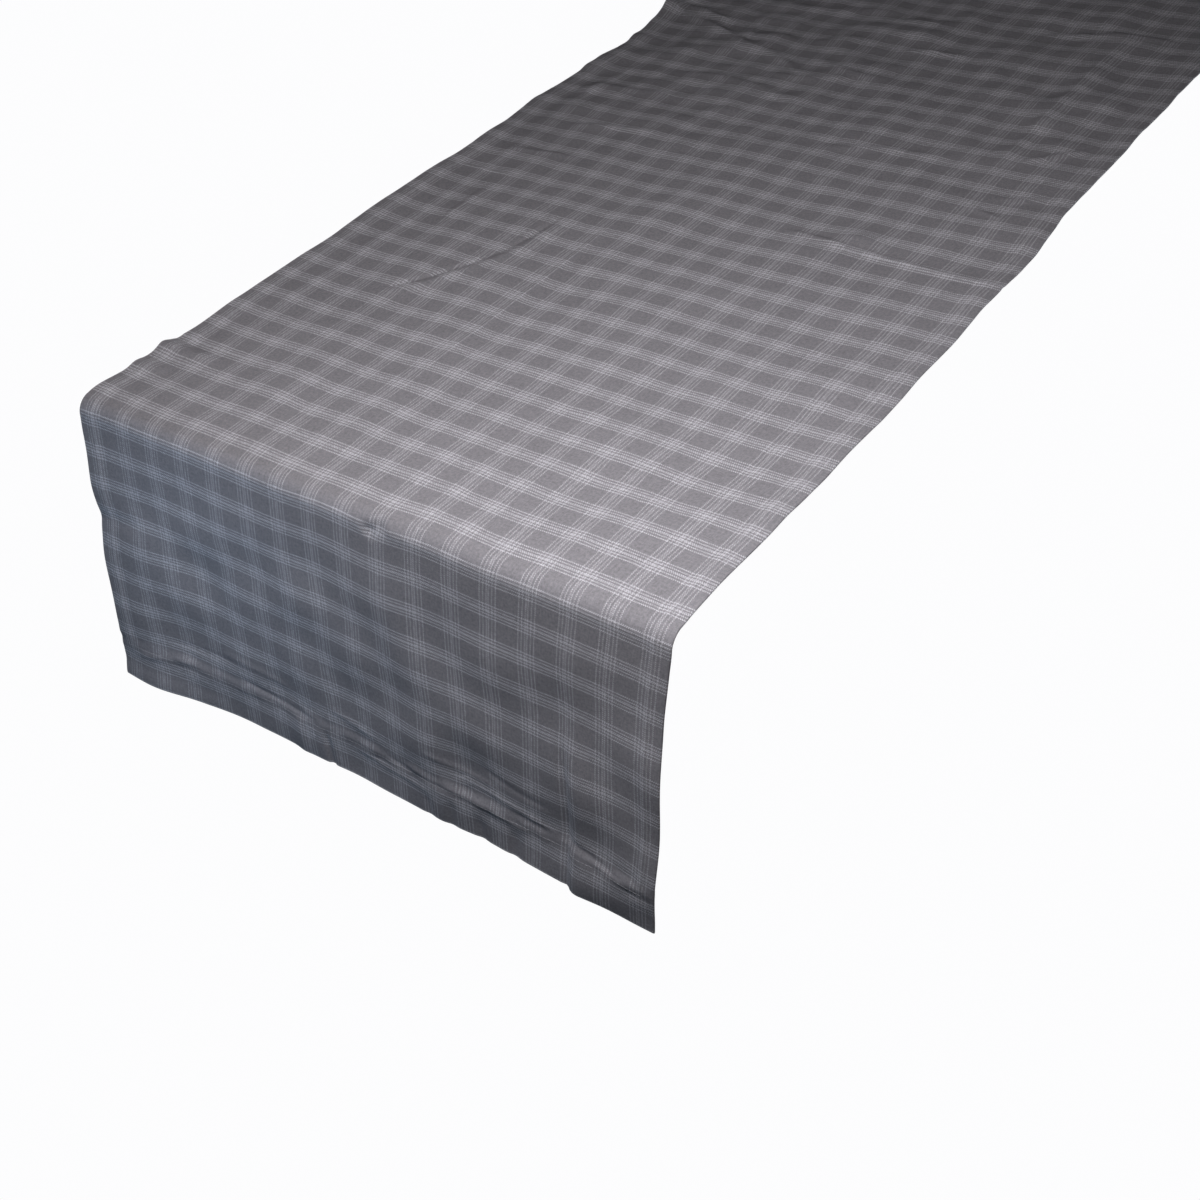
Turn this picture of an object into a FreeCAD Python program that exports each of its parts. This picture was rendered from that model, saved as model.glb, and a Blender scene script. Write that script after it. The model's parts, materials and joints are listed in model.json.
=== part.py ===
"""Table runner: one length of check cotton, hemmed on all four sides, laid over a table.

The cloth lies flat on the table top and both of its ends hang over the table's edges.
Frame: the origin is the middle of the face that rests on the table, +Z is up, +Y runs
along the cloth towards the far end and +X points to its right.  Millimetres and degrees.
"""
import FreeCAD, Part
import math
import os
import Sketcher

# ---------------------------------------------------------------- driving dimensions
DIMENSIONS = [
    ("runner_length", 1800.0, "hemmed cloth from end to end, measured along the cloth"),
    ("runner_width", 450.0, "hemmed cloth from side to side"),
    ("near_hang", 220.0, "cloth past the table's near edge, its bend included"),
    ("far_hang", 220.0, "cloth past the table's far edge, its bend included"),
    ("edge_radius", 9.0, "radius of the inside of the bend over a table edge"),
    ("drop_lean", 7.0, "how far a hanging end stands out from plumb, in degrees"),
    ("cloth_thick", 0.45, "one layer of cloth"),
    ("side_hem", 10.0, "width of the double hem along a long side"),
    ("end_hem", 30.0, "depth of the double hem along a short side"),
    ("hem_ramp", 3.0, "where the cloth steps from three layers down to one"),
    ("stitch_inset", 1.5, "seam line to the hem's inner fold"),
    ("thread_wide", 0.4, "width of the sewing thread as it lies in the cloth"),
    ("thread_deep", 0.25, "how deep the sewing thread is pulled into the cloth"),
]


class Size:
    """A number and the sheet expression that gives it, kept together through arithmetic."""

    def __init__(self, value, text):
        self.value = value
        self.text = text

    def join(self, other, sign, value):
        other_text = other.text if isinstance(other, Size) else repr(other)
        return Size(value, f"({self.text} {sign} {other_text})")

    def __add__(self, other):
        return self.join(other, "+", self.value + plain(other))

    def __sub__(self, other):
        return self.join(other, "-", self.value - plain(other))

    def __mul__(self, other):
        return self.join(other, "*", self.value * plain(other))

    def __truediv__(self, other):
        return self.join(other, "/", self.value / plain(other))

    def __neg__(self):
        return Size(-self.value, f"(0 - {self.text})")


def plain(size):
    """The number inside a Size, or the number itself."""
    return size.value if isinstance(size, Size) else size


def sine(angle):
    return Size(math.sin(math.radians(angle.value)), f"sin({angle.text} * 1 deg)")


def cosine(angle):
    return Size(math.cos(math.radians(angle.value)), f"cos({angle.text} * 1 deg)")


document = FreeCAD.newDocument("table_runner")
sheet = document.addObject("Spreadsheet::Sheet", "Sizes")
size = {}
for row, (alias, number, meaning) in enumerate(DIMENSIONS, start=1):
    sheet.set(f"A{row}", meaning)
    sheet.set(f"B{row}", str(number))
    sheet.setAlias(f"B{row}", alias)
    size[alias] = Size(number, f"Sizes.{alias}")
document.recompute()

# ---------------------------------------------------------------- sizes worked out from them
cloth = size["cloth_thick"]
hem_thick = cloth * 3
half_width = size["runner_width"] / 2
hem_round = hem_thick / 2
table_span = size["runner_length"] - size["near_hang"] - size["far_hang"]
half_span = table_span / 2
bend_angle = -(size["drop_lean"] - 90)
bend_arc = (size["edge_radius"] + cloth / 2) * bend_angle * (math.pi / 180)
panel_half = half_width - size["side_hem"] - size["hem_ramp"]
thread_half = size["thread_wide"] / 2
side_seam = half_width - size["side_hem"] + size["stitch_inset"]
ground = Size(0.0, "0")
hang = {"near": size["near_hang"], "far": size["far_hang"]}
OUTWARD = {"near": -1, "far": 1}
SIDES = {"left": -1, "right": 1}
NODES = []


# ---------------------------------------------------------------- sketching and solids
def pin(sketch, geometry, point, across, up):
    """Hold one corner of an outline at its place in the sketch, by the sheet's values."""
    for kind, place in (("DistanceX", across), ("DistanceY", up)):
        if place.value == 0:
            sketch.addConstraint(Sketcher.Constraint("PointOnObject", geometry, point, -1))
            continue
        if place.value > 0:
            ends = (-1, 1, geometry, point)
            held = place
        else:
            ends = (geometry, point, -1, 1)
            held = -place
        index = sketch.addConstraint(Sketcher.Constraint(kind, *ends, held.value))
        sketch.setExpression(f"Constraints[{index}]", held.text)


def draw_outline(body, plane_role, corners, first_is_round=False):
    """A closed outline through the corners; its first edge may be a half-round fold."""
    sketch = body.newObject("Sketcher::SketchObject", body.Label + "_outline")
    plane = [face for face in body.Origin.OriginFeatures if face.Role == plane_role][0]
    sketch.AttachmentSupport = [(plane, "")]
    sketch.MapMode = "FlatFace"
    places = [FreeCAD.Vector(across.value, up.value, 0) for across, up in corners]
    starts = []
    ends = []
    for index, start in enumerate(places):
        end = places[(index + 1) % len(places)]
        if index == 0 and first_is_round:
            centre = (start + end) / 2
            faces_right = start.x > places[2].x
            turn = 0 if faces_right else math.pi
            circle = Part.Circle(centre, FreeCAD.Vector(0, 0, 1), (end - start).Length / 2)
            fold = Part.ArcOfCircle(circle, turn - math.pi / 2, turn + math.pi / 2)
            sketch.addGeometry(fold, False)
            starts.append(1 if faces_right else 2)
            ends.append(2 if faces_right else 1)
        else:
            sketch.addGeometry(Part.LineSegment(start, end), False)
            starts.append(1)
            ends.append(2)
    for index, (across, up) in enumerate(corners):
        following = (index + 1) % len(corners)
        sketch.addConstraint(Sketcher.Constraint(
            "Coincident", index, ends[index], following, starts[following]))
        pin(sketch, index, starts[index], across, up)
    if first_is_round:
        sketch.addConstraint(Sketcher.Constraint("Vertical", 0, 3, 0, starts[0]))
    return sketch


def new_body(label):
    body = document.addObject("PartDesign::Body", label)
    body.Label = label
    NODES.append(body)
    return body


def pad(body, sketch, length, centred=False, backwards=False):
    """Carry an outline along the cloth, or across it."""
    solid = body.newObject("PartDesign::Pad", body.Label + "_pad")
    solid.Profile = sketch
    solid.setExpression("Length", length.text)
    solid.SideType = "Symmetric" if centred else "One side"
    solid.Reversed = backwards
    return solid


def bend(body, sketch, outward):
    """Carry an outline over a table edge, about the middle of the edge's rounding."""
    solid = body.newObject("PartDesign::Revolution", body.Label + "_bend")
    solid.Profile = sketch
    solid.ReferenceAxis = (sketch, ["H_Axis"])
    solid.setExpression("Angle", bend_angle.text)
    solid.Reversed = outward > 0
    return solid


def place(body, outward, along, up, angle=None):
    """Stand a body at a table edge, tipped down towards the floor if it has an angle."""
    base = FreeCAD.Vector(0, outward * along.value, up.value)
    turn = FreeCAD.Rotation(FreeCAD.Vector(-outward, 0, 0), angle.value if angle else 0)
    body.Placement = FreeCAD.Placement(base, turn)
    body.setExpression("Placement.Base.y", f"{outward} * {along.text}")
    body.setExpression("Placement.Base.z", up.text)
    if angle:
        body.setExpression("Placement.Rotation.Angle", angle.text)


# ---------------------------------------------------------------- cross-sections of the cloth
def panel_section(lift):
    """One layer of cloth between the two side hems."""
    top = lift + cloth
    return [(-panel_half, lift), (panel_half, lift), (panel_half, top), (-panel_half, top)]


def hem_section(edge, hem, lift, direction):
    """Three layers, a rounded outer fold, the step down to one, and a groove for each thread."""
    seam = edge - hem + size["stitch_inset"]
    top = lift + hem_thick
    step = edge - hem
    foot = step - size["hem_ramp"]
    outline = [
        (edge - hem_round, lift), (edge - hem_round, top),
        (seam + thread_half, top), (seam + thread_half, top - size["thread_deep"]),
        (seam - thread_half, top - size["thread_deep"]), (seam - thread_half, top),
        (step, top), (foot, lift + cloth), (foot, lift),
        (seam - thread_half, lift), (seam - thread_half, lift + size["thread_deep"]),
        (seam + thread_half, lift + size["thread_deep"]), (seam + thread_half, lift),
    ]
    return [(across if direction > 0 else -across, up) for across, up in outline]


def thread_section(seam, bottom, direction):
    """The sewing thread, which fills its groove."""
    top = bottom + size["thread_deep"]
    near, far = seam - thread_half, seam + thread_half
    outline = [(near, bottom), (far, bottom), (far, top), (near, top)]
    return [(across if direction > 0 else -across, up) for across, up in outline]


def thread_levels(lift):
    """The needle thread shows on the upper face, the bobbin thread on the face below."""
    return {"needle": lift + hem_thick - size["thread_deep"], "bobbin": lift}


def lengthwise_pieces(prefix, finish, lift):
    """Panel, side hems and side threads of one stretch; finish makes each solid."""
    panel = new_body(prefix + "panel")
    finish(panel, draw_outline(panel, "XZ_Plane", panel_section(lift)))
    for side, direction in SIDES.items():
        hem = new_body(f"{prefix}{side}_hem")
        outline = hem_section(half_width, size["side_hem"], lift, direction)
        finish(hem, draw_outline(hem, "XZ_Plane", outline, first_is_round=True))
        for name, level in thread_levels(lift).items():
            thread = new_body(f"{prefix}{side}_{name}_thread")
            finish(thread, draw_outline(thread, "XZ_Plane", thread_section(side_seam, level, direction)))


# ---------------------------------------------------------------- the stretch on the table
def finish_on_table(body, sketch):
    pad(body, sketch, table_span, centred=True)


lengthwise_pieces("top_", finish_on_table, ground)


# ---------------------------------------------------------------- the two hanging ends
def build_end(end):
    """The bend over one table edge, the cloth that hangs below it and its end hem."""
    outward = OUTWARD[end]
    radius = size["edge_radius"]
    straight = hang[end] - bend_arc
    side_run = straight - size["end_hem"] - size["hem_ramp"]
    reach = half_span + radius * sine(bend_angle)
    level = radius * cosine(bend_angle) - radius

    def finish_bend(body, sketch):
        bend(body, sketch, outward)
        place(body, outward, half_span, -radius)

    def finish_drop(body, sketch):
        pad(body, sketch, side_run, backwards=outward > 0)
        place(body, outward, reach, level, bend_angle)

    def finish_across(body, sketch):
        pad(body, sketch, size["runner_width"], centred=True)
        place(body, outward, reach, level, bend_angle)

    lengthwise_pieces(f"{end}_bend_", finish_bend, radius)
    lengthwise_pieces(f"{end}_drop_", finish_drop, ground)

    hem = new_body(f"{end}_end_hem")
    outline = hem_section(straight, size["end_hem"], ground, outward)
    finish_across(hem, draw_outline(hem, "YZ_Plane", outline, first_is_round=True))
    end_seam = straight - size["end_hem"] + size["stitch_inset"]
    for name, bottom in thread_levels(ground).items():
        thread = new_body(f"{end}_end_{name}_thread")
        section = thread_section(end_seam, bottom, outward)
        finish_across(thread, draw_outline(thread, "YZ_Plane", section))


for end in OUTWARD:
    build_end(end)

# ---------------------------------------------------------------- check, then write the parts
document.recompute()
for item in document.Objects:
    bad = [state for state in item.State if state in ("Invalid", "Error")]
    if bad:
        raise RuntimeError(f"{item.Label} is {bad[0]}")

os.makedirs("parts", exist_ok=True)
for body in NODES:
    shape = body.Shape
    if shape.isNull() or not shape.isValid() or len(shape.Solids) != 1:
        raise RuntimeError(f"{body.Label} has no single valid solid")
    shape.exportStep(f"parts/{body.Label}.step")
    box = shape.BoundBox
    print(f"{body.Label:32s} {shape.Volume:10.1f} mm3  x {box.XMin:7.1f} {box.XMax:7.1f}"
          f"  y {box.YMin:7.1f} {box.YMax:7.1f}  z {box.ZMin:7.1f} {box.ZMax:5.1f}")
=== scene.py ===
# %% [markdown]
# # A checked table runner, laid over a table
# A table runner is a long, narrow cloth: it lies flat along the middle of a table and hangs
# over both short sides. This one is woven in grey with a pale check, and all four edges are
# turned under twice and stitched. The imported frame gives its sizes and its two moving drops;
# this lesson makes how it looks.

# %% Load the frame
import json
import math

import bpy
import numpy as np
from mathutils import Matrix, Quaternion, Vector


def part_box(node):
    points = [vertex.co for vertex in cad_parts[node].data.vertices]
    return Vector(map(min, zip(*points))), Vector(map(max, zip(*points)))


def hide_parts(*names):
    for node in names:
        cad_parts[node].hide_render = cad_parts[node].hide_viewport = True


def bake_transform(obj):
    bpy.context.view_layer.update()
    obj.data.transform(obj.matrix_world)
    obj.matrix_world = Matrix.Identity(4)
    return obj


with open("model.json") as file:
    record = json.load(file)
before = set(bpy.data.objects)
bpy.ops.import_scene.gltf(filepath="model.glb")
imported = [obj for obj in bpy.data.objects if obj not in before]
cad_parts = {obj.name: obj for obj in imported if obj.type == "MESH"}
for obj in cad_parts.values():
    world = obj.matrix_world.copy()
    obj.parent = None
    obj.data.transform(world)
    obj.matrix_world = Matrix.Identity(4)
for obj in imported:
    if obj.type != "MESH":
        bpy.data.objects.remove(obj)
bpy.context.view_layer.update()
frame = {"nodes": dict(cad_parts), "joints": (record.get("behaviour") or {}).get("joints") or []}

# %% [markdown]
# ## Sizes
# Every size is read from the frame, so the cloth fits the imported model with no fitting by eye.
# The cloth bends over the table's edge round a small radius, and hangs with a slight lean. A drop
# lifted level turns through the whole bend, so the joint's limit is also the bend's sweep.

# %% Read the sizes
joints = {joint["name"]: joint for joint in frame["joints"]}
sweep = math.radians(max(joints["near_drop_lift"]["range_deg"]))
top_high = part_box("top_panel")[1]
hem_low, hem_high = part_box("top_right_hem")
bend_hem_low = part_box("near_bend_right_hem")[0]
end_hem_low, end_hem_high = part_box("near_end_hem")

half_width = hem_high.x
half_span = top_high.y
cloth_thick = top_high.z
hem_thick = hem_high.z
side_hem_reach = hem_high.x - hem_low.x
end_hem_reach = (end_hem_high.z - end_hem_low.z) / math.sin(sweep)
edge_radius = (-bend_hem_low.y - half_span) / math.sin(sweep) - hem_thick
mid_radius = edge_radius + cloth_thick / 2
bend_length = mid_radius * sweep
edge_drop = edge_radius * (1 - math.cos(sweep))
hang = bend_length + (-end_hem_low.z - edge_drop) / math.sin(sweep)
half_length = half_span + hang
print(f"cloth {2 * half_width:.3f} by {2 * half_length:.3f} m, {cloth_thick * 1000:.2f} mm thick")
print(f"hangs {hang:.3f} m over an edge of radius {edge_radius * 1000:.1f} mm")

# %% [markdown]
# ## The camera
# A camera looks along its own -Z axis. The view is from the near right corner, well above the
# table, along the length of the cloth. `to_track_quat` turns -Z onto a direction, and a turn
# about Z before that leans the camera a little.

# %% Set the camera
camera_place = Vector((0.5798, -half_span - 0.4696, 0.5325))
camera_look = Vector((-0.4964, 0.5727, -0.6524))
camera_lean = math.radians(8.03)

camera = bpy.data.objects.new("camera", bpy.data.cameras.new("camera"))
bpy.context.collection.objects.link(camera)
camera.data.lens = 48.1
camera.data.clip_start = 0.02
camera.location = camera_place
camera.rotation_mode = "QUATERNION"
camera.rotation_quaternion = camera_look.to_track_quat("-Z", "Y") @ Quaternion((0, 0, 1), -camera_lean)
bpy.context.scene.camera = camera
print("camera at", tuple(camera.location))

# %% [markdown]
# ## Shader maths as Python
# A material is a net of nodes. Written out link by link it is hard to read, so one small class
# wraps a node's output: `a * b + 1` then adds the Math nodes by itself. Every other node comes
# from `Finish.node`, which takes the node's type, its settings and its inputs.


# %% Wrap sockets and materials
class Value:
    """One output in a node tree. Arithmetic on it adds Math nodes to the tree."""

    def __init__(self, finish, output):
        self.finish = finish
        self.output = output

    def math(self, operation, *others):
        inputs = dict(enumerate((self, *others)))
        return self.finish.node("ShaderNodeMath", {"operation": operation}, inputs)

    def __add__(self, other):
        return self.math("ADD", other)

    def __sub__(self, other):
        return self.math("SUBTRACT", other)

    def __rsub__(self, other):
        return self.finish.node("ShaderNodeMath", {"operation": "SUBTRACT"}, {0: other, 1: self})

    def __mul__(self, other):
        return self.math("MULTIPLY", other)

    def __truediv__(self, other):
        return self.math("DIVIDE", other)

    __radd__ = __add__
    __rmul__ = __mul__

    def __abs__(self):
        return self.math("ABSOLUTE")

    def fraction(self):
        return self.math("FRACT")

    def sine(self):
        return self.math("SINE")

    def falls(self, start, end):
        """1 up to start, 0 from end, and a smooth change between them."""
        settings = {"interpolation_type": "SMOOTHSTEP"}
        limits = {"Value": self, "From Min": start, "From Max": end, "To Min": 1.0, "To Max": 0.0}
        return self.finish.node("ShaderNodeMapRange", settings, limits)


class Finish:
    """A material, and the one method that makes its nodes."""

    def __init__(self, name):
        self.material = bpy.data.materials.new(name)
        self.material.use_nodes = True
        self.tree = self.material.node_tree
        self.shader = self.tree.nodes["Principled BSDF"]

    def node(self, kind, settings=None, inputs=None, output=0):
        made = self.tree.nodes.new(kind)
        for name, setting in (settings or {}).items():
            setattr(made, name, setting)
        for name, given in (inputs or {}).items():
            self.feed(made.inputs[name], given)
        return Value(self, made.outputs[output])

    def feed(self, socket, given):
        if isinstance(given, Value):
            self.tree.links.new(given.output, socket)
        else:
            socket.default_value = given

    def blend_colours(self, share, first, second):
        """first where share is 0, second where it is 1. These are a Mix node's colour sockets."""
        inputs = {"Factor": share, 6: first, 7: second}
        return self.node("ShaderNodeMix", {"data_type": "RGBA"}, inputs, output=2)

    def surface(self, **sockets):
        for name, given in sockets.items():
            self.feed(self.shader.inputs[name.replace("_", " ")], given)


# %% [markdown]
# ## The studio
# A cloth that is lit evenly looks like paper. Here the main light hangs close to the near right
# corner, so it fades along the cloth and rakes across its wrinkles. It is a ball and a panel at
# one place: the panel shines mostly straight down, which makes the light fade faster than a
# ball's does. A spot stands in for it over the far end. The lamps for the hanging ends and the
# rims stay below the table's top, so they never wash out its shading. The floor is a plain pale
# sheet inside a pale dome, and both are hidden from bounced light, so that the white round the
# cloth doesn't flatten its folds.

# %% Build the floor and the dome
table_height = 0.75
studio_radius = 12.0

backdrop = Finish("pale_studio_paper")
paper_grain = backdrop.node("ShaderNodeTexNoise", {}, {"Scale": 3.0, "Detail": 4.0})
backdrop.surface(
    Base_Color=(0.0, 0.0, 0.0, 1.0),
    Roughness=1.0,
    Specular_IOR_Level=0.0,
    Emission_Color=backdrop.blend_colours(paper_grain, (0.975, 0.975, 0.985, 1), (0.985, 0.985, 0.99, 1)),
    Emission_Strength=1.0,
)

bpy.ops.mesh.primitive_plane_add(size=2 * studio_radius, location=(0, 0, -table_height))
floor = bpy.context.active_object
floor.name = "studio_floor"
bpy.ops.mesh.primitive_uv_sphere_add(segments=64, ring_count=32, radius=studio_radius)
dome = bpy.context.active_object
dome.name = "studio_dome"
for sheet in (floor, dome):
    sheet.data.materials.append(backdrop.material)
    sheet.visible_diffuse = False
    sheet.visible_glossy = False
    sheet.visible_shadow = False
print("floor at", -table_height, "m")

# %% Hang the lamps
world = bpy.data.worlds.new("studio_air")
world.use_nodes = True
world.node_tree.nodes["Background"].inputs["Color"].default_value = (0.90, 0.95, 1.0, 1.0)
world.node_tree.nodes["Background"].inputs["Strength"].default_value = 0.03
bpy.context.scene.world = world
bpy.context.scene.view_settings.view_transform = "Standard"


def lamp(name, kind, place, power, colour, size, aim=None, cone=40):
    """A soft lamp: a glowing ball (POINT), a ball behind a cone (SPOT) or a panel (AREA)."""
    light = bpy.data.lights.new(name, kind)
    light.energy = power
    light.color = colour
    if kind == "AREA":
        light.size = size
    else:
        light.shadow_soft_size = size
    if kind == "SPOT":
        light.spot_size = math.radians(cone)
        light.spot_blend = 1.0
    holder = bpy.data.objects.new(name, light)
    holder.location = place
    if aim is not None:
        holder.rotation_mode = "QUATERNION"
        holder.rotation_quaternion = (Vector(aim) - Vector(place)).to_track_quat("-Z", "Y")
    holder.visible_camera = False
    bpy.context.collection.objects.link(holder)
    return holder


key_colour = (1.0, 0.965, 0.98)
fill_colour = (0.58, 0.76, 1.0)
rim_colour = (0.90, 0.95, 1.0)
key_place = Vector((0.225, -half_span - 0.116, 0.553))
lamp("key_ball", "POINT", key_place, 12.6, key_colour, 0.10)
lamp("key_panel", "AREA", key_place, 3.9, key_colour, 0.20)
lamp("near_fill", "POINT", (-0.136, -half_span - 0.196, -0.035), 0.62, fill_colour, 0.03)
lamp("low_fill", "POINT", (-0.30, -half_span - 0.7, -0.30), 1.6, fill_colour, 0.10)
lamp("far_fill", "AREA", (-0.3, half_span + 1.3, -0.45), 10.0, rim_colour, 0.5, aim=(0, half_span, -0.1))
lamp("far_spot", "SPOT", (0, half_span + 0.4, 0.60), 24.0, key_colour, 0.10, (0, half_span - 0.06, 0), 46)
for hand, side in ((-1, "left"), (1, "right")):
    lamp(side + "_rim_light", "POINT", (hand * 1.3, 0.0, -0.12), 24.0, rim_colour, 0.08)

# %% [markdown]
# ## Where each point of the cloth lies
# The easiest cloth to shape is one that is still flat. Each point keeps two flat coordinates:
# how far it is across the cloth and how far along it. One function then lays those points over
# the table: flat on top, round the edge, and down the drop. `height` lifts a point off the
# cloth's underside, square to it, so folds and hems keep their shape round the bend.


# %% Lay flat points over the table
def lay(across, along, height):
    """Places in the frame for flat coordinates on the cloth, in metres."""
    end = np.where(along < 0, -1.0, 1.0)
    past_edge = np.maximum(np.abs(along) - half_span, 0.0)
    turned = np.minimum(past_edge / mid_radius, sweep)
    hanging = np.maximum(past_edge - bend_length, 0.0)
    out = np.minimum(np.abs(along), half_span) + edge_radius * np.sin(turned) + hanging * math.cos(sweep)
    down = edge_radius * (1 - np.cos(turned)) + hanging * math.sin(sweep)
    return np.stack([
        across,
        end * (out + height * np.sin(turned)),
        height * np.cos(turned) - down,
    ], axis=-1)


def smooth(x):
    """0 below 0, 1 above 1, and an easy curve between."""
    x = np.clip(x, 0.0, 1.0)
    return x * x * (3 - 2 * x)


print("edge of the near drop:", lay(0.0, -half_length, 0.0).round(4))

# %% [markdown]
# ## Wrinkles, folds and creases
# Ironed cotton that has been folded for a while keeps soft marks: a long crease down the middle,
# short wrinkles where it was bunched, and hems that wander a little because stitching pulls them.
# Cloth simulation could make folds like these, but not at chosen places. So each one is written
# down as a named ridge or lump, with its own place, width and height, and a gentle seeded
# unevenness fills the space between them.


# %% Shape single wrinkles
def ridge(across, along, start, finish, width, height, bow=0.0):
    """A soft ridge from start to finish that fades at both ends. bow bends its line sideways."""
    run = np.subtract(finish, start)
    length = math.hypot(*run)
    forward = ((across - start[0]) * run[0] + (along - start[1]) * run[1]) / length**2
    sideways = ((along - start[1]) * run[0] - (across - start[0]) * run[1]) / length
    sideways = sideways - bow * 4 * forward * (1 - forward)
    fade = smooth(forward / 0.25) * smooth((1 - forward) / 0.25)
    return height * np.exp(-((sideways / width) ** 2)) * fade


def lump(across, along, place, reach, height):
    """A rounded rise, reach[0] wide across the cloth and reach[1] long."""
    apart = ((across - place[0]) / reach[0]) ** 2 + ((along - place[1]) / reach[1]) ** 2
    return height * np.exp(-apart)


def unevenness(across, along, seed, shortest, longest, height, waves=24):
    """Gentle seeded noise: a sum of long waves that run in all directions."""
    draw = np.random.default_rng(seed)
    total = np.zeros(np.broadcast(across, along).shape)
    for _ in range(waves):
        heading = draw.uniform(0, math.pi)
        length = draw.uniform(shortest, longest)
        shift = draw.uniform(0, 2 * math.pi)
        total += np.sin(
            2 * math.pi * (across * math.cos(heading) + along * math.sin(heading)) / length + shift
        )
    return height * total / math.sqrt(waves / 2)


# %% Name the wrinkles of the top
top_ridges = [
    # start, finish, width, height, bow; each place is across the cloth and in from the near edge
    ((-0.047, 0.350), (-0.049, 0.110), 0.0022, 0.0008, 0.0),
    ((-0.190, 0.460), (-0.190, 0.090), 0.0025, 0.0006, 0.0),
    ((-0.152, 0.176), (-0.090, 0.330), 0.0015, -0.0016, -0.020),
    ((-0.146, 0.172), (-0.083, 0.326), 0.0045, 0.0012, -0.020),
    ((-0.250, 0.063), (-0.176, 0.066), 0.0058, 0.0028, 0.0),
    ((-0.245, 0.076), (-0.150, 0.075), 0.0022, -0.0014, 0.0),
    ((-0.235, 0.040), (-0.195, 0.043), 0.0060, 0.0018, 0.0),
    ((0.184, 0.070), (0.185, 0.220), 0.0018, -0.0009, 0.0),
    ((0.146, 0.078), (0.155, 0.052), 0.0018, -0.0008, 0.002),
    ((0.060, 0.366), (0.122, 0.357), 0.0026, 0.0015, 0.003),
    ((0.106, 0.362), (0.240, 0.357), 0.0026, 0.0015, -0.002),
    ((0.160, 0.448), (0.190, 0.435), 0.0022, 0.0010, 0.0),
    ((0.168, 0.461), (0.216, 0.475), 0.0022, 0.0011, 0.0),
    ((0.165, 0.512), (0.206, 0.554), 0.0030, 0.0015, 0.0),
    ((0.154, 0.470), (0.156, 0.760), 0.0060, 0.0020, 0.0),
    ((0.000, 0.655), (0.062, 0.666), 0.0028, 0.0019, 0.0),
    ((-0.030, 0.709), (0.010, 0.712), 0.0030, 0.0014, 0.0),
    ((-0.203, 0.420), (-0.203, 0.560), 0.0030, -0.0012, 0.0),
    ((-0.220, 0.679), (-0.148, 0.654), 0.0030, 0.0019, 0.0),
    ((-0.212, 0.660), (-0.100, 0.605), 0.0040, 0.0016, 0.006),
    ((-0.130, 0.626), (-0.030, 0.572), 0.0045, 0.0014, 0.006),
    ((-0.090, 0.580), (0.000, 0.604), 0.0040, 0.0013, -0.008),
    ((-0.150, 0.560), (-0.020, 0.540), 0.0050, 0.0013, 0.006),
    ((-0.140, 0.700), (-0.130, 0.580), 0.0045, 0.0012, 0.004),
    ((-0.170, 0.440), (-0.090, 0.452), 0.0030, 0.0010, 0.003),
    ((-0.165, 0.270), (-0.170, 0.350), 0.0024, 0.0011, 0.0),
    ((-0.190, 0.470), (-0.188, 0.560), 0.0040, 0.0012, 0.0),
    ((-0.199, 0.389), (-0.130, 0.397), 0.0024, 0.0010, 0.0),
    ((-0.217, 0.354), (-0.161, 0.354), 0.0022, 0.0009, 0.0),
    ((-0.200, 0.505), (-0.110, 0.519), 0.0030, 0.0014, 0.0),
    ((0.020, 0.480), (0.120, 0.500), 0.0035, 0.0010, 0.006),
    ((-0.060, 0.620), (0.020, 0.600), 0.0035, 0.0012, -0.004),
    ((0.080, 0.720), (0.200, 0.745), 0.0040, 0.0016, 0.005),
    ((-0.180, 0.800), (-0.060, 0.770), 0.0045, 0.0018, 0.006),
]
top_lumps = [
    # place, reach, height
    ((-0.215, 0.290), (0.020, 0.050), 0.0016),
    ((-0.228, 0.668), (0.016, 0.022), 0.0075),
    ((0.215, 0.410), (0.018, 0.040), 0.0016),
    ((-0.100, 0.460), (0.030, 0.040), 0.0016),
    ((0.118, 0.374), (0.013, 0.010), 0.0026),
    ((-0.030, 0.330), (0.030, 0.050), 0.0010),
    ((0.075, 0.130), (0.012, 0.006), 0.0009),
    ((0.050, 0.045), (0.008, 0.016), 0.0010),
]


def top_relief(across, along):
    """How far the cloth stands off the table top."""
    inward = along + half_span
    rise = unevenness(across, along, 11, 0.05, 0.16, 0.00045)
    further = smooth((inward - 0.29) / 0.35)
    rumpled = further * smooth((1.05 - inward) / 0.35) * (0.4 + smooth((0.06 - across) / 0.14))
    rise = rise * (1 + further) + unevenness(across, along, 12, 0.016, 0.045, 0.00011) * (1 + 1.2 * further)
    rise = rise + unevenness(across, along * 1.6, 13, 0.024, 0.070, 0.00034) * rumpled + 0.0010
    for start, finish, width, height, bow in top_ridges:
        rise = rise + ridge(across, inward, start, finish, width, height, bow)
    for place, reach, height in top_lumps:
        rise = rise + lump(across, inward, place, reach, height)
    return (rise + np.sqrt(rise * rise + 0.0003**2)) / 2


# %% [markdown]
# ## How the drops hang
# A cloth that bends in one direction can't easily bend in the other, so a hanging end keeps nearly
# straight near the table's edge and grows livelier further down: its corners flare outwards, a
# few soft folds run down it, and the heavy hem swings in and out.


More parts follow.
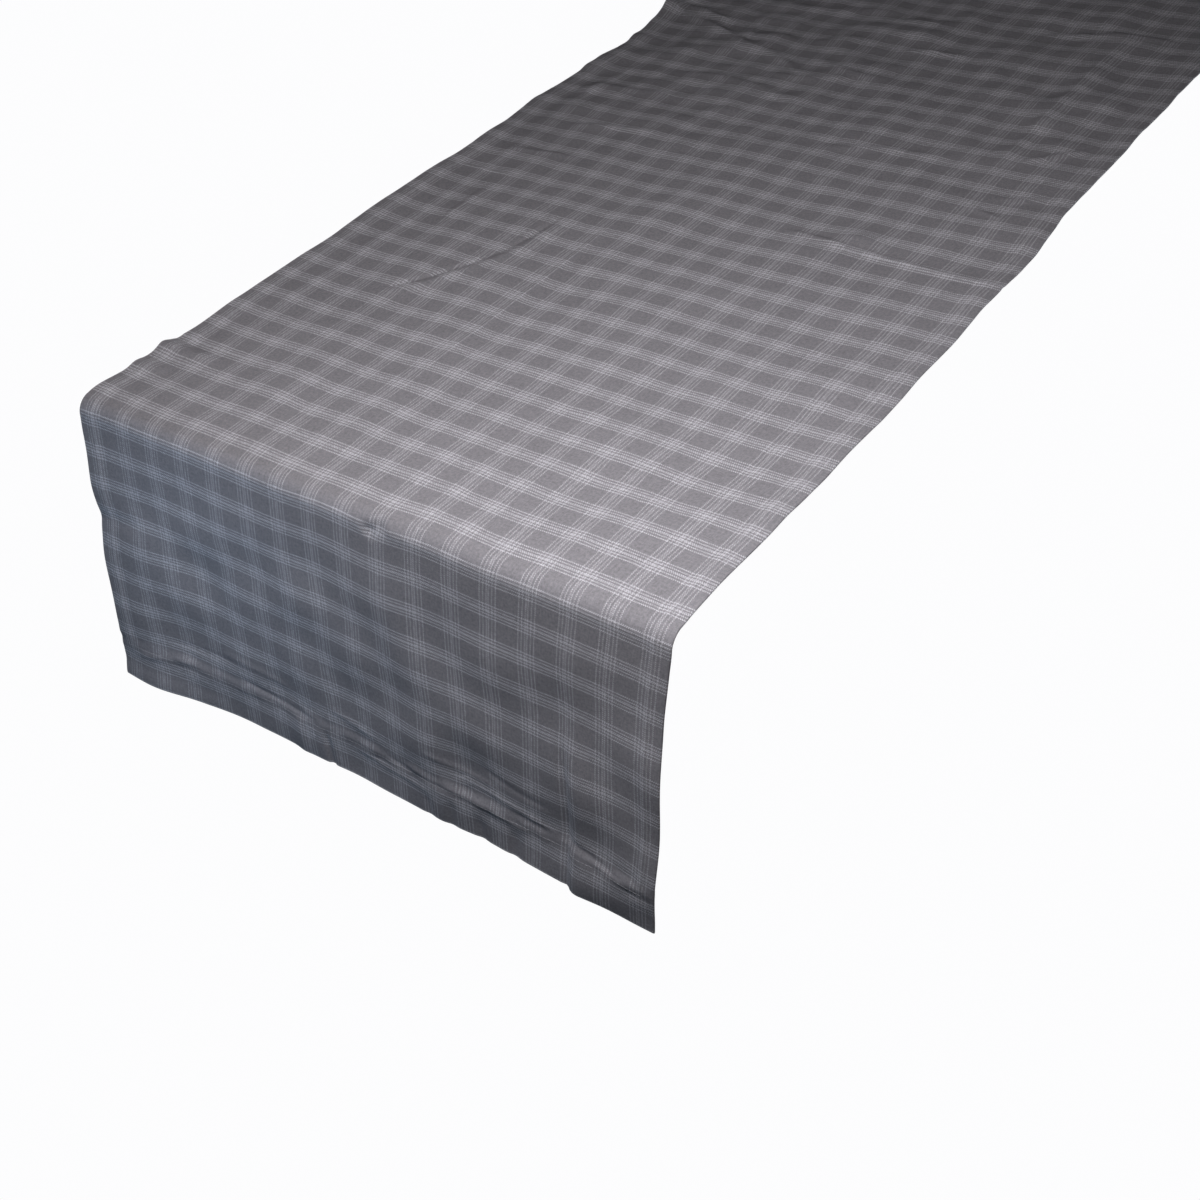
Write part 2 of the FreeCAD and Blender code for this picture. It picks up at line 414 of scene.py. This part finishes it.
# %% Name the folds of the drops
drop_folds = {
    # where across, how wide, how far out at the hem
    -1: [(-0.220, 0.058, 0.0092), (-0.090, 0.030, -0.0010), (0.128, 0.028, 0.0010)],
    1: [(-0.200, 0.034, 0.0065), (-0.090, 0.045, 0.0025), (0.080, 0.040, -0.0020), (0.205, 0.034, 0.0080)],
}
near_creases = [
    # start, finish, width, height, bow; each place is across the cloth and down from the edge
    ((0.020, 0.012), (0.078, 0.260), 0.0200, 0.0018, 0.0),
    ((0.016, 0.016), (0.034, 0.006), 0.0050, -0.0022, 0.0),
    ((0.158, 0.100), (0.160, 0.250), 0.0032, -0.0020, 0.0),
    ((-0.037, 0.188), (-0.033, 0.240), 0.0022, -0.0016, 0.0),
    ((-0.062, 0.186), (-0.058, 0.240), 0.0060, 0.0010, 0.0),
    ((0.050, 0.200), (0.054, 0.240), 0.0040, -0.0008, 0.0),
    ((0.071, 0.196), (0.068, 0.240), 0.0040, -0.0010, 0.0),
    ((0.091, 0.198), (0.094, 0.240), 0.0040, -0.0009, 0.0),
    ((0.121, 0.194), (0.117, 0.240), 0.0045, -0.0010, 0.0),
    ((-0.245, 0.092), (-0.180, 0.086), 0.0060, -0.0010, 0.0),
    ((-0.121, 0.180), (-0.033, 0.187), 0.0018, -0.0006, 0.003),
    ((-0.036, 0.170), (0.014, 0.180), 0.0018, 0.0006, 0.0),
    ((0.044, 0.166), (0.113, 0.171), 0.0018, 0.0006, 0.002),
    ((0.072, 0.176), (0.156, 0.185), 0.0018, 0.0006, -0.002),
    ((0.152, 0.179), (0.204, 0.190), 0.0018, -0.0005, 0.0),
    ((0.158, 0.186), (0.218, 0.193), 0.0018, 0.0004, 0.0),
    ((0.006, 0.186), (0.084, 0.191), 0.0018, -0.0004, 0.002),
    ((-0.130, 0.166), (-0.060, 0.172), 0.0018, 0.0005, -0.002),
    ((-0.020, 0.193), (0.060, 0.199), 0.0018, 0.0005, 0.002),
    ((0.090, 0.158), (0.150, 0.166), 0.0018, -0.0005, 0.002),
    ((0.060, 0.190), (0.140, 0.196), 0.0018, 0.0005, -0.002),
    ((-0.180, 0.176), (-0.110, 0.170), 0.0018, -0.0005, 0.0),
    ((-0.212, 0.198), (-0.146, 0.185), 0.0030, 0.0009, 0.0),
]
near_sag = 0.0030
kink_at = 0.152
curl_from = -0.105
curl_deep = 0.016
pucker_reach = 0.010


def drop_relief(across, along):
    """How far a hanging end stands out from its straight hang."""
    down = np.maximum(np.abs(along) - half_span, 0.0)
    depth = down / hang
    near = (along < 0) * 1.0
    grown = smooth(depth / 0.95)
    rise = np.zeros(np.broadcast(across, along).shape)
    for end, folds in drop_folds.items():
        for place, width, height in folds:
            fold = height * np.exp(-(((across - place) / width) ** 2))
            rise = rise + (np.sign(along) == end) * fold * grown
    for start, finish, width, height, bow in near_creases:
        rise = rise + near * ridge(across, down, start, finish, width, height, bow)
    kink = 0.0046 * smooth((across - kink_at) / 0.018) + 0.0012 * smooth((across - 0.18) / 0.05)
    curl = 0.0022 * smooth((down - hang + curl_deep) / curl_deep) * smooth((curl_from - across) / 0.05)
    rise = rise + near * (kink * grown + curl - near_sag * depth)
    seam = np.exp(-(((down - hang + end_hem_reach - 0.002) / pucker_reach) ** 2))
    rise = rise + unevenness(across, along, 22, 0.009, 0.022, 0.00018) * seam
    return rise + unevenness(across, along, 21, 0.05, 0.14, 0.0007) * smooth(depth / 0.5)


def relief(across, along):
    """The whole cloth's relief: the top's wrinkles give way to the drops' folds at the edge."""
    hangs = smooth((np.abs(along) - half_span + 0.012) / 0.03)
    return top_relief(across, along) * (1 - hangs) + drop_relief(across, along) * hangs


# %% [markdown]
# ## How the edges wander
# A cloth also moves within its own surface. Its sides bow by a few millimetres, and a drop that
# hangs a little askew shifts sideways as it goes down. Smooth curves through a few chosen points
# give the two sides, and every point between them takes its share.


# %% Shift points within the cloth
left_wander = [
    # in from the near edge (down the drop where negative), and how far to the right
    (-0.220, -0.0025), (-0.120, -0.0060), (-0.088, -0.0042), (-0.068, -0.0062), (-0.020, -0.0040),
    (-0.008, -0.0022), (0.010, -0.0048), (0.040, -0.0028), (0.066, -0.0030), (0.085, -0.0005),
    (0.220, -0.0005), (0.340, 0.0000), (0.370, 0.0015), (0.430, -0.0010), (0.475, -0.0040),
    (0.550, 0.0005), (0.580, 0.0020), (0.640, -0.0020), (0.670, -0.0060), (0.705, 0.0015),
    (0.900, 0.0000), (1.360, -0.0020), (1.580, -0.0040),
]
right_wander = [
    (-0.220, -0.0030), (-0.060, -0.0040), (0.000, -0.0015), (0.100, -0.0015), (0.135, 0.0015),
    (0.400, 0.0015), (0.460, -0.0020), (0.610, -0.0020), (0.900, 0.0000), (1.360, 0.0015), (1.580, 0.0050),
]
drop_skew = 0.048


def wander(inward, points):
    """A smooth curve through the points: straight runs between them, softened a little."""
    places, shifts = np.array(points).T
    total = np.zeros(np.shape(inward))
    for offset in np.linspace(-0.006, 0.006, 5):
        total = total + np.interp(inward + offset, places, shifts)
    return total / 5


def drift(across, along):
    """How far each point moves across and along the cloth, within its surface."""
    to_right = smooth((across + half_width) / (2 * half_width))
    inward = along + half_span
    sideways = wander(inward, left_wander) * (1 - to_right) + wander(inward, right_wander) * to_right
    depth = np.maximum(np.abs(along) - half_span, 0.0)
    sideways = sideways - drop_skew * depth * smooth(depth / 0.03)
    sideways = sideways + unevenness(across, along, 31, 0.06, 0.18, 0.0005)
    lengthwise = unevenness(across, along, 32, 0.06, 0.18, 0.0006)
    return sideways, lengthwise * smooth((half_length - np.abs(along)) / 0.05)


def place_on_table(across, along, height):
    """The final place of a point: drift first, then relief, then over the table."""
    sideways, lengthwise = drift(across, along)
    return lay(across + sideways, along + lengthwise, relief(across, along) + height)


# %% [markdown]
# ## Cutting the cloth
# Even squares would waste points on the flat middle and miss the tight bend and the thin hems. So
# the grid's lines are spaced by need: 2 or 3 mm on the flat, and 1 mm or less at the bend, at the
# hems' steps and at the rim. One grid serves the whole runner. It is parted in two beyond the
# middle, one half for each drop.


# %% Space the grid lines
def spaced(stops):
    """Grid lines through the stops. Each stop is a place and the step up to the next one."""
    lines = []
    for (start, step), (finish, _) in zip(stops, stops[1:]):
        count = max(1, round((finish - start) / step))
        lines.extend(np.linspace(start, finish, count, endpoint=False))
    return np.array(lines + [stops[-1][0]])


hem_ramp = 0.003
rim = hem_thick / 2
part_at = 0.84 - half_span
side_hem_start = half_width - side_hem_reach
end_hem_start = half_length - end_hem_reach

right_lines = spaced([
    (0.0, 0.0021),
    (side_hem_start - 0.005, 0.0010),
    (side_hem_start + hem_ramp, 0.002),
    (half_width - 0.002, 0.0006),
    (half_width - rim, 0.0),
])
across_lines = np.concatenate([-right_lines[:0:-1], right_lines])


def hanging_stops(flat_step):
    """Stops from the start of a bend to the cloth's end."""
    return [
        (half_span - 0.004, 0.001),
        (half_span + bend_length + 0.004, flat_step),
        (end_hem_start - 0.006, 0.0010),
        (end_hem_start + hem_ramp, 0.0015),
        (half_length - 0.002, 0.0006),
        (half_length - rim, 0.0),
    ]


far_lines = spaced([(part_at, 0.003)] + hanging_stops(0.003))
near_lines = -spaced([(-part_at, 0.003), (half_span - 0.45, 0.002)] + hanging_stops(0.002))[::-1]
print(len(across_lines), "lines across;", len(near_lines), "and", len(far_lines), "along")

# %% [markdown]
# ## Hems
# A hem is the cloth's own edge turned under twice, so it is three layers thick and its face stands
# a little proud, with a short slope where the turning ends. On the model the cloth itself is
# one thin layer that climbs over the turning and rolls round its outer edge. The turning
# below it is a piece of its own, two layers thick.


# %% Find the cloth's two surfaces
def hem_rise(across, along):
    """0 on the single cloth, 1 on a hem, and the slope between."""
    side = smooth((np.abs(across) - side_hem_start + 0.004) / (hem_ramp + 0.004))
    end = smooth((np.abs(along) - end_hem_start + 0.004) / (hem_ramp + 0.004))
    return np.maximum(side, end)


def cloth_face(across, along):
    return cloth_thick + (hem_thick - cloth_thick) * hem_rise(across, along)


def cloth_back(across, along):
    return cloth_face(across, along) - cloth_thick


def turning_top(across, along):
    return np.full(np.shape(across), hem_thick - cloth_thick - 0.00002)


def turning_bottom(across, along):
    return np.zeros(np.shape(across))


# %% [markdown]
# ## From grid to closed cloth
# Each piece of cloth is two grids, a face and a back, closed by walls all round. Where the wall
# is a folded edge it is a half-round bead. Where the runner is parted it is a plain cut.

# %% Make a slab of cloth
bead_angles = np.radians([54, 18, -18, -54])


def slab(across, along, face, back, bead=False, cut=None):
    """Points, quads and flat coordinates of one closed slab over a grid of lines."""
    wide, long = len(across), len(along)
    u, v = (lines.T for lines in np.meshgrid(across, along))
    index = np.arange(wide * long).reshape(wide, long)
    loop = np.concatenate([index[:-1, 0], index[-1, :-1], index[:0:-1, -1], index[0, :0:-1]])
    out_u = np.zeros((wide, long))
    out_v = np.zeros((wide, long))
    if bead:
        out_u[0, :], out_u[-1, :] = -1, 1
        out_v[:, 0], out_v[:, -1] = -1, 1
        if cut is not None:
            out_v[:, cut] = 0
    edge_u, edge_v = u.ravel()[loop], v.ravel()[loop]
    out_u, out_v = out_u.ravel()[loop], out_v.ravel()[loop]
    folded = np.hypot(out_u, out_v)
    scale = rim / np.maximum(folded, 1.0)
    high, low = face(edge_u, edge_v), back(edge_u, edge_v)

    flat = [(u.ravel(), v.ravel(), face(u, v).ravel()), (u.ravel(), v.ravel(), back(u, v).ravel())]
    walls = [loop]
    for step, angle in enumerate(bead_angles, 1):
        reach = math.cos(angle) * scale
        rolled = hem_thick / 2 * (1 + math.sin(angle))
        plain = high + (low - high) * step / (len(bead_angles) + 1)
        height = np.where(folded > 0, rolled, plain)
        walls.append(2 * u.size + (step - 1) * len(loop) + np.arange(len(loop)))
        flat.append((edge_u + out_u * reach, edge_v + out_v * reach, height))
    walls.append(u.size + loop)

    corners = np.stack([index[:-1, :-1], index[1:, :-1], index[1:, 1:], index[:-1, 1:]], axis=-1)
    corners = corners.reshape(-1, 4)
    quads = [corners, u.size + corners[:, ::-1]]
    for upper, lower in zip(walls, walls[1:]):
        quads.append(np.stack([upper, lower, np.roll(lower, -1), np.roll(upper, -1)], axis=-1))
    flat_u, flat_v, height = (np.concatenate(part) for part in zip(*flat))
    return flat_u, flat_v, height, np.concatenate(quads)


def make_mesh(name, flat_u, flat_v, height, quads, drawn_u=None, drawn_v=None):
    """A mesh from flat coordinates, laid over the table, that keeps where its check is drawn."""
    points = place_on_table(flat_u, flat_v, height)
    mesh = bpy.data.meshes.new(name)
    mesh.vertices.add(len(points))
    mesh.vertices.foreach_set("co", points.astype(np.float32).ravel())
    mesh.loops.add(quads.size)
    mesh.loops.foreach_set("vertex_index", quads.astype(np.int32).ravel())
    mesh.polygons.add(len(quads))
    mesh.polygons.foreach_set("loop_start", np.arange(0, quads.size, 4, dtype=np.int32))
    mesh.update(calc_edges=True)
    mesh.validate()
    drawn = np.stack([
        flat_u if drawn_u is None else drawn_u,
        flat_v if drawn_v is None else drawn_v,
        np.zeros(len(flat_u)),
    ], axis=-1)
    place = mesh.attributes.new("cloth_place", "FLOAT_VECTOR", "POINT")
    place.data.foreach_set("vector", drawn.astype(np.float32).ravel())
    mesh.shade_smooth()
    mesh.set_sharp_from_angle(angle=math.radians(55))
    piece = bpy.data.objects.new(name, mesh)
    bpy.context.collection.objects.link(piece)
    print(f"{name}: {len(points)} points, {len(quads)} faces")
    return piece


# %% Make the cloth
near_cloth = make_mesh(
    "near_cloth", *slab(across_lines, near_lines, cloth_face, cloth_back, bead=True, cut=-1)
)
far_cloth = make_mesh(
    "far_cloth", *slab(across_lines, far_lines, cloth_face, cloth_back, bead=True, cut=0)
)


# %% Make the turnings
def turned_hem(name, end, along_lines):
    """The folded-under strips of both sides and of one end, as one piece."""
    side_inner = half_width - side_hem_reach + hem_ramp
    end_inner = half_length - end_hem_reach + hem_ramp
    right = across_lines[across_lines > side_inner - 1e-6]
    sides = along_lines[end * along_lines < end_inner + 1e-6]
    across_end = along_lines[end * along_lines > end_inner - 1e-6]
    parts = []
    for lines in (-right[::-1], right):
        u, v, height, quads = slab(lines, sides, turning_top, turning_bottom)
        parts.append((u, v, height, quads, np.sign(u) * 2 * half_width - u, v))
    u, v, height, quads = slab(across_lines, across_end, turning_top, turning_bottom)
    parts.append((u, v, height, quads, u, end * 2 * half_length - v))
    starts = np.cumsum([0] + [len(part[0]) for part in parts[:-1]])
    quads = np.concatenate([part[3] + start for part, start in zip(parts, starts)])
    u, v, height, drawn_u, drawn_v = (np.concatenate([part[i] for part in parts]) for i in (0, 1, 2, 4, 5))
    return make_mesh(name, u, v, height, quads, drawn_u, drawn_v)


near_turning = turned_hem("near_hem_turning", -1, near_lines)
far_turning = turned_hem("far_hem_turning", 1, far_lines)

# %% [markdown]
# ## Stitches
# A lockstitch shows as a row of short threads on both faces: the needle thread above and the bobbin
# thread below. Each stitch is a little arch that dives into the cloth at its two ends. All of
# them are copies of one arch, set end to end along the hem while the cloth is still flat.

# %% Sew the hems
stitch_pitch = 0.0030
stitch_length = 0.0026
thread_radius = 0.0002
thread_low, thread_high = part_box("top_right_needle_thread")
stitch_from_side = half_width - (thread_low.x + thread_high.x) / 2
stitch_from_end = stitch_from_side + (end_hem_reach - side_hem_reach)


def one_stitch():
    """Points (forward, sideways, up) and quads of one arch of thread."""
    rings, sides = 7, 6
    share = np.linspace(-1, 1, rings)[:, None]
    angle = np.linspace(0, 2 * math.pi, sides, endpoint=False)[None, :]
    taper = np.sqrt(1 - (0.93 * share) ** 2)
    forward = share * stitch_length / 2 + 0 * angle
    sideways = thread_radius * taper * np.cos(angle)
    up = thread_radius * (0.55 * (1 - share**4) + taper * np.sin(angle) * 0.9) - 0.4 * thread_radius
    points = np.stack([forward, sideways, up], axis=-1).reshape(-1, 3)
    ring = np.arange(rings - 1)[:, None] * sides
    spoke = np.arange(sides)[None, :]
    following = (spoke + 1) % sides
    quads = np.stack(
        [ring + spoke, ring + spoke + sides, ring + following + sides, ring + following], axis=-1
    )
    caps = np.array([[0, 1, 2, 3], [0, 3, 4, 5]])
    last = caps[:, ::-1] + (rings - 1) * sides
    return points, np.concatenate([quads.reshape(-1, 4), caps, last])


def sew(name, end, side_from, base, upward):
    """One thread's stitches along both sides and one end, at a height above the underside."""
    arch, arch_quads = one_stitch()
    turn_at = half_length - stitch_from_end
    side_count = round((turn_at - end * side_from) / stitch_pitch)
    end_count = round(2 * (half_width - stitch_from_side) / stitch_pitch)
    down_side = end * side_from + (np.arange(side_count) + 0.5) * stitch_pitch
    along_end = (np.arange(end_count) + 0.5 - end_count / 2) * stitch_pitch
    rows = []
    for hand in (-1, 1):
        u = hand * (half_width - stitch_from_side) + arch[None, :, 1] + 0 * down_side[:, None]
        v = end * (down_side[:, None] + arch[None, :, 0])
        rows.append((u, v, np.broadcast_to(base + upward * arch[:, 2], u.shape)))
    u = along_end[:, None] + arch[None, :, 0]
    v = end * turn_at + arch[None, :, 1] + 0 * u
    rows.append((u, v, np.broadcast_to(base + upward * arch[:, 2], u.shape)))
    u, v, height = (np.concatenate([row[i].reshape(-1, len(arch)) for row in rows]) for i in range(3))
    quads = (arch_quads[None] + (np.arange(len(u)) * len(arch))[:, None, None]).reshape(-1, 4)
    return make_mesh(name, u.ravel(), v.ravel(), height.ravel(), quads)


near_needle = sew("near_needle_stitches", -1, part_at, hem_thick, 1)
near_bobbin = sew("near_bobbin_stitches", -1, part_at, 0.0, -1)
far_needle = sew("far_needle_stitches", 1, part_at, hem_thick, 1)
far_bobbin = sew("far_bobbin_stitches", 1, part_at, 0.0, -1)

# %% [markdown]
# ## The woven check
# In a plain weave each yarn is on top half of the time, so a pale stripe is half pale, and only
# where two pale stripes cross does the cloth look fully pale. The material does the same: one
# stripe pattern per direction, and a tiny checkerboard of yarn tops that decides which one shows.

# %% Stripes and weave
yarn_pitch = 0.00065
line_soft = 0.0002
warp_repeat = 0.02666
weft_repeat = 0.02322


def stripes(position, repeat, centre, lines, ground=0.0):
    """1 on the pale yarns that run one way, 0 on the grey ones. Each band is the same both ways."""
    from_centre = abs(((position - centre) / repeat + 0.5).fraction() - 0.5) * repeat
    total = from_centre.falls(0.0011, 0.0015) * ground
    for middle, half_wide, strength in lines:
        line = abs(from_centre - middle).falls(half_wide - line_soft, half_wide + line_soft)
        total = total + line * strength
    return total


# from the band's middle, half wide, strength
warp_lines = ((0.0055, 0.00046, 0.66), (0.0031, 0.00046, 0.62), (0.0008, 0.00046, 0.44))
weft_lines = ((0.00445, 0.00048, 1.0), (0.0023, 0.00048, 0.96), (0.0, 0.00085, 1.0))


def woven(name, grey, pale):
    """A yarn-dyed plain weave in two colours."""
    finish = Finish(name)
    place = finish.node("ShaderNodeAttribute", {"attribute_name": "cloth_place"}, output="Vector")
    across = finish.node("ShaderNodeSeparateXYZ", {}, {"Vector": place})
    along = Value(finish, across.output.node.outputs["Y"])
    warp = stripes(across, warp_repeat, 0.0003, warp_lines, ground=0.22)
    weft = stripes(along, weft_repeat, 0.0091 - half_span, weft_lines)
    yarns_across = (across * (math.pi / yarn_pitch)).sine()
    yarns_along = (along * (math.pi / yarn_pitch)).sine()
    crown = yarns_across * yarns_along
    warp_shows = (crown * -1).falls(-0.35, 0.35)
    stretch = {"operation": "MULTIPLY"}
    long_slub = finish.node("ShaderNodeVectorMath", stretch, {0: place, 1: (1400, 160, 1)})
    cross_slub = finish.node("ShaderNodeVectorMath", stretch, {0: place, 1: (160, 1400, 1)})
    warp_tone = finish.node("ShaderNodeTexNoise", {}, {"Vector": long_slub, "Scale": 1.0, "Detail": 2.0})
    weft_tone = finish.node("ShaderNodeTexNoise", {}, {"Vector": cross_slub, "Scale": 1.0, "Detail": 2.0})
    dye = finish.node("ShaderNodeTexNoise", {}, {"Vector": place, "Scale": 22.0, "Detail": 3.0})
    paleness = weft * (1 - warp_shows) + warp * warp_shows
    slub = weft_tone * (1 - warp_shows) + warp_tone * warp_shows
    speck = finish.node("ShaderNodeTexNoise", {}, {"Vector": place, "Scale": 620.0, "Detail": 2.0})
    worn = paleness * (0.6 + slub * 0.8)
    colour = finish.blend_colours(worn, grey, pale)
    shade = slub * 0.8 + speck * 0.7 + dye * 0.16 + 0.17
    tint = finish.node("ShaderNodeVectorMath", {"operation": "SCALE"}, {"Vector": colour, "Scale": shade})
    rise = abs(crown) + slub * 1.2
    weave_bump = {"Strength": 0.35, "Distance": 0.0002, "Height": rise}
    bump = finish.node("ShaderNodeBump", {}, weave_bump, output="Normal")
    finish.surface(
        Base_Color=tint,
        Roughness=0.82 + slub * 0.16,
        Specular_IOR_Level=0.25,
        Normal=bump,
    )
    return finish.material


cloth_finish = woven("grey_check_weave", (0.156, 0.153, 0.164, 1), (0.385, 0.387, 0.410, 1))
hem_finish = woven("grey_check_turning", (0.148, 0.146, 0.156, 1), (0.365, 0.367, 0.390, 1))


# %% Thread
def thread_finish(name, colour, shadow):
    """Twisted cotton thread: slanting strands, with painted shade in the grooves between them."""
    finish = Finish(name)
    place = finish.node("ShaderNodeTexCoord", {}, output="Object")
    slanting = {"bands_direction": "DIAGONAL"}
    strands = finish.node("ShaderNodeTexWave", slanting, {"Vector": place, "Scale": 900.0})
    fluff = finish.node("ShaderNodeTexNoise", {}, {"Vector": place, "Scale": 2500.0, "Detail": 3.0})
    twist_bump = {"Strength": 0.4, "Distance": 0.0001, "Height": strands + fluff}
    bump = finish.node("ShaderNodeBump", {}, twist_bump, output="Normal")
    finish.surface(
        Base_Color=finish.blend_colours(strands * 0.6 + fluff * 0.4, shadow, colour),
        Roughness=0.7 + fluff * 0.2,
        Sheen_Weight=0.2,
        Normal=bump,
    )
    return finish.material


needle_finish = thread_finish("grey_needle_thread", (0.22, 0.22, 0.235, 1), (0.15, 0.15, 0.16, 1))
bobbin_finish = thread_finish("grey_bobbin_thread", (0.21, 0.21, 0.225, 1), (0.145, 0.145, 0.155, 1))
print("finishes:", [m.name for m in bpy.data.materials])

# %% [markdown]
# ## Putting the pieces in place of the frame's parts
# Each piece takes its finish, and the frame's parts that it stands for are hidden. The cloth has no
# hinge: it bends over the table's edge. The bend starts where the cloth leaves the flat and ends
# where the drop runs straight.

# %% Give each half its finishes and hide the frame's parts
named = list(frame["nodes"])


def join(piece, end, finish, nodes):
    """Give a piece its finish and hide the frame's parts that it stands for."""
    piece.data.materials.append(finish)
    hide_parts(*nodes)
    finish_at = (0.0, end * (half_span + edge_radius * math.sin(sweep)), -edge_drop)
    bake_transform(piece)


for end, ending, cloth, turning, needle, bobbin in (
    (-1, "near", near_cloth, near_turning, near_needle, near_bobbin),
    (1, "far", far_cloth, far_turning, far_needle, far_bobbin),
):
    own = [name for name in named if name.startswith(ending) or (end < 0 and name.startswith("top"))]
    join(cloth, end, cloth_finish, [name for name in own if name.endswith("panel")])
    join(turning, end, hem_finish, [name for name in own if name.endswith("hem")])
    join(needle, end, needle_finish, [name for name in own if "needle" in name])
    join(bobbin, end, bobbin_finish, [name for name in own if "bobbin" in name])
    length = half_length + part_at if end < 0 else half_length - part_at
    print(ending, "cloth:", round(length, 3), "m long when flat")
